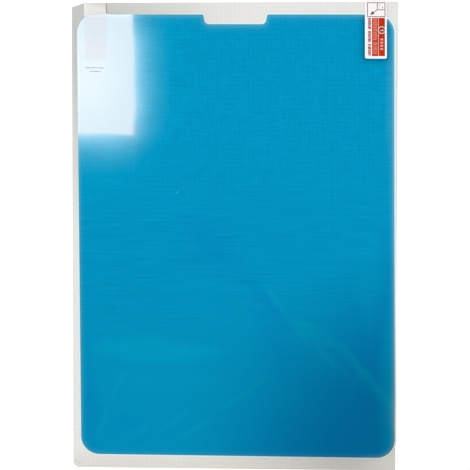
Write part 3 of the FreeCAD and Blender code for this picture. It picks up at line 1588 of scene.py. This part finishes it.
@dataclass
class Studio:
    """A white floor, soft light with one window-like panel that the film mirrors, and the camera."""

    white: Colour = (1.0, 1.0, 1.0)
    floor_half: float = 12.0
    floor_drop: float = 0.00005
    floor_grey: float = 0.35
    floor_glow: float = 0.80
    sky_light: float = 0.64
    lamp_place: tuple[float, float, float] = (-0.706, 0.598, 4.0)
    lamp_watts: float = 72.0
    lamp_size: float = 0.6
    flag_shade: Point = (0.086, -0.121)
    flag_height: float = 0.52
    flag_radius: float = 0.066
    flag_corners: int = 64
    panel_height: float = 1.0
    panel_low: Point = (-0.60, -0.50)
    panel_high: Point = (0.25, 0.40)
    pane_edge: Point = (-200.9, -25.6)
    pane_border: Point = (0.0, 1.0)
    pane_light: Colour = (19.6, 15.2, 10.8)
    pane_tone: float = 0.92
    core: Point = (-240.0, 22.0)
    core_reach: Point = (0.0, 45.0)
    core_squeeze: Point = (1.0, 0.75)
    core_tone: float = 0.15
    glow_light: Colour = (11.6, 12.0, 11.4)
    glow_loss: float = 0.18
    glow_reach: Point = (7.6, 10.8)
    glow_below: float = 0.9
    glow_top: Point = (46.0, 76.0)
    glow_top_loss: float = 0.70
    glow_corner_x: Point = (-26.0, 3.0)
    glow_corner_y: Point = (-28.0, 3.0)
    glow_corner_loss: float = 0.42
    lens: float = 275.74
    camera_place: tuple[float, float, float] = (0.2250, 0.2141, 1.93786)
    camera_turn_deg: tuple[float, float, float] = (-6.2758, 6.6063, -0.324)

    def shown(self, graph: Graph) -> Value:
        """Tells the rays that see a surface from those that light one.

        Args:
            graph: The material's or the world's nodes.

        Returns:
            1 for rays from the camera or from a mirror or glass, and 0 for the others.
        """
        rays = graph.node("ShaderNodeLightPath", {}, {}).outputs
        camera, glossy, through = (
            Value(graph, rays[name]) for name in ("Is Camera Ray", "Is Glossy Ray", "Is Transmission Ray")
        )
        return camera.at_least(glossy).at_least(through)

    def hide(self, thing: bpy.types.Object, *rays: str) -> None:
        """Keeps a stage piece out of the sight of some kinds of rays."""
        for ray in rays:
            setattr(thing, f"visible_{ray}", False)

    def plane(self, name: str, low: Point, high: Point, level: float) -> bpy.types.Object:
        """Adds a flat stage piece.

        Args:
            name: Its name.
            low: Its lower left corner, in metres.
            high: Its upper right corner.
            level: Its height.

        Returns:
            The piece.
        """
        bpy.ops.object.select_all(action="DESELECT")
        centre = ((low[0] + high[0]) / 2, (low[1] + high[1]) / 2, level)
        bpy.ops.mesh.primitive_plane_add(size=1.0, location=centre)
        made = bpy.context.object
        made.name = name
        made.scale = (high[0] - low[0], high[1] - low[1], 1.0)
        bpy.ops.object.transform_apply(location=True, rotation=True, scale=True)
        return made

    def build_floor(self) -> None:
        """Lays the floor, white to the eye and grey to the light that it gives back."""
        half = self.floor_half
        floor = self.plane("floor", (-half, -half), (half, half), -self.floor_drop)
        material, graph = blank_material("floor")
        lit = graph.node("ShaderNodeBsdfDiffuse", {}, {"Color": (self.floor_grey,) * 3})
        glow = graph.node("ShaderNodeEmission", {}, {"Strength": self.shown(graph) * self.floor_glow})
        both = graph.node("ShaderNodeAddShader", {}, {0: lit.outputs[0], 1: glow.outputs[0]})
        graph.node("ShaderNodeOutputMaterial", {}, {"Surface": both.outputs[0]})
        floor.data.materials.append(material)

    def pane_and_glow(self, graph: Graph) -> bpy.types.NodeSocket:
        """The light of the panel: a bright pane, and its glow past the pane's right and lower edge.

        Args:
            graph: The panel's nodes.

        Returns:
            The light's colour.
        """
        x, y = graph.plane()
        past_x, past_y = x - self.pane_edge[0], self.pane_edge[1] - y
        past = past_x.at_least(0.0) + self.glow_below * past_y.at_least(0.0)
        corner = graph.step(past_x, *self.glow_corner_x) * graph.step(past_y, *self.glow_corner_y)
        glow = 1 - self.glow_top_loss * graph.step(y, *self.glow_top)
        glow = glow * (1 - self.glow_corner_loss * corner)
        red, rest = (glow * math.e ** (past * (-1.0 / reach)) for reach in self.glow_reach)
        red = (red * self.glow_light[0] - self.glow_loss).at_least(0.0)
        channels = {"Red": red, "Green": rest * self.glow_light[1], "Blue": rest * self.glow_light[2]}
        glowing = graph.node("ShaderNodeCombineColor", {}, channels).outputs[0]
        core = graph.near(self.core, self.core_reach, self.core_squeeze)
        pane = graph.toned(self.pane_light, self.pane_tone + self.core_tone * core)
        return graph.mix(graph.step(past, *self.pane_border), pane, glowing)

    def build_panel(self) -> None:
        """Hangs a panel with one bright pane over the film, which mirrors it and gets no light from it."""
        panel = self.plane("panel", self.panel_low, self.panel_high, self.panel_height)
        self.hide(panel, "camera", "diffuse", "shadow", "transmission")
        material, graph = blank_material("panel")
        light = {"Color": self.pane_and_glow(graph), "Strength": 1.0}
        emission = graph.node("ShaderNodeEmission", {}, light)
        graph.node("ShaderNodeOutputMaterial", {}, {"Surface": emission.outputs[0]})
        panel.data.materials.append(material)

    def build_flag(self) -> None:
        """Hangs a small unseen disc in the lamp's light, which shades the film's lower right corner."""
        lamp = Vector(self.lamp_place)
        shade = Vector((*self.flag_shade, 0.0))
        bpy.ops.object.select_all(action="DESELECT")
        bpy.ops.mesh.primitive_circle_add(
            vertices=self.flag_corners, radius=self.flag_radius, fill_type="NGON",
            location=shade.lerp(lamp, self.flag_height / lamp.z),
        )
        flag = bpy.context.object
        flag.name = "flag"
        self.hide(flag, "camera", "glossy", "diffuse", "transmission")

    def build_surround(self) -> None:
        """Sets the even light from all round, which the eye sees as white."""
        world = bpy.data.worlds.new("studio")
        world.use_nodes = True
        graph = Graph(world.node_tree)
        sky, seen = (
            graph.node("ShaderNodeBackground", {}, {"Color": self.white, "Strength": strength}).outputs[0]
            for strength in (self.sky_light, 1.0)
        )
        both = graph.node("ShaderNodeMixShader", {}, {0: self.shown(graph), 1: sky, 2: seen})
        graph.node("ShaderNodeOutputWorld", {}, {"Surface": both.outputs[0]})
        bpy.context.scene.world = world

    def build_lamp(self) -> None:
        """Hangs the soft lamp at the upper left."""
        lamp = bpy.data.lights.new("lamp", "AREA")
        lamp.shape = "DISK"
        lamp.size = self.lamp_size
        lamp.energy = self.lamp_watts
        hung = bpy.data.objects.new("lamp", lamp)
        hung.location = self.lamp_place
        hung.rotation_euler = Vector(self.lamp_place).to_track_quat("Z", "Y").to_euler()
        self.hide(hung, "glossy")
        bpy.context.scene.collection.objects.link(hung)

    def build_camera(self) -> None:
        """Places the camera at the photograph's viewing angle."""
        camera = bpy.data.objects.new("camera", bpy.data.cameras.new("camera"))
        camera.data.lens = self.lens
        camera.location = self.camera_place
        camera.rotation_euler = [math.radians(angle) for angle in self.camera_turn_deg]
        bpy.context.scene.collection.objects.link(camera)
        bpy.context.scene.camera = camera

    def build(self) -> None:
        """Sets up the whole stage."""
        self.build_floor()
        self.build_panel()
        self.build_flag()
        self.build_surround()
        self.build_lamp()
        self.build_camera()
        bpy.context.scene.view_settings.view_transform = "Standard"


def main() -> None:
    """Builds every part of the scene in order and reports each piece."""
    logging.basicConfig(level=logging.INFO, format="%(message)s")
    for assembly in (BackingSheet(), Laminate(), PullTabs()):
        assembly.dress()
        for piece in assembly.build():
            LOG.info("%s: %s", type(assembly).__name__, piece.name)
    Studio().build()


if __name__ == "__main__":
    main()
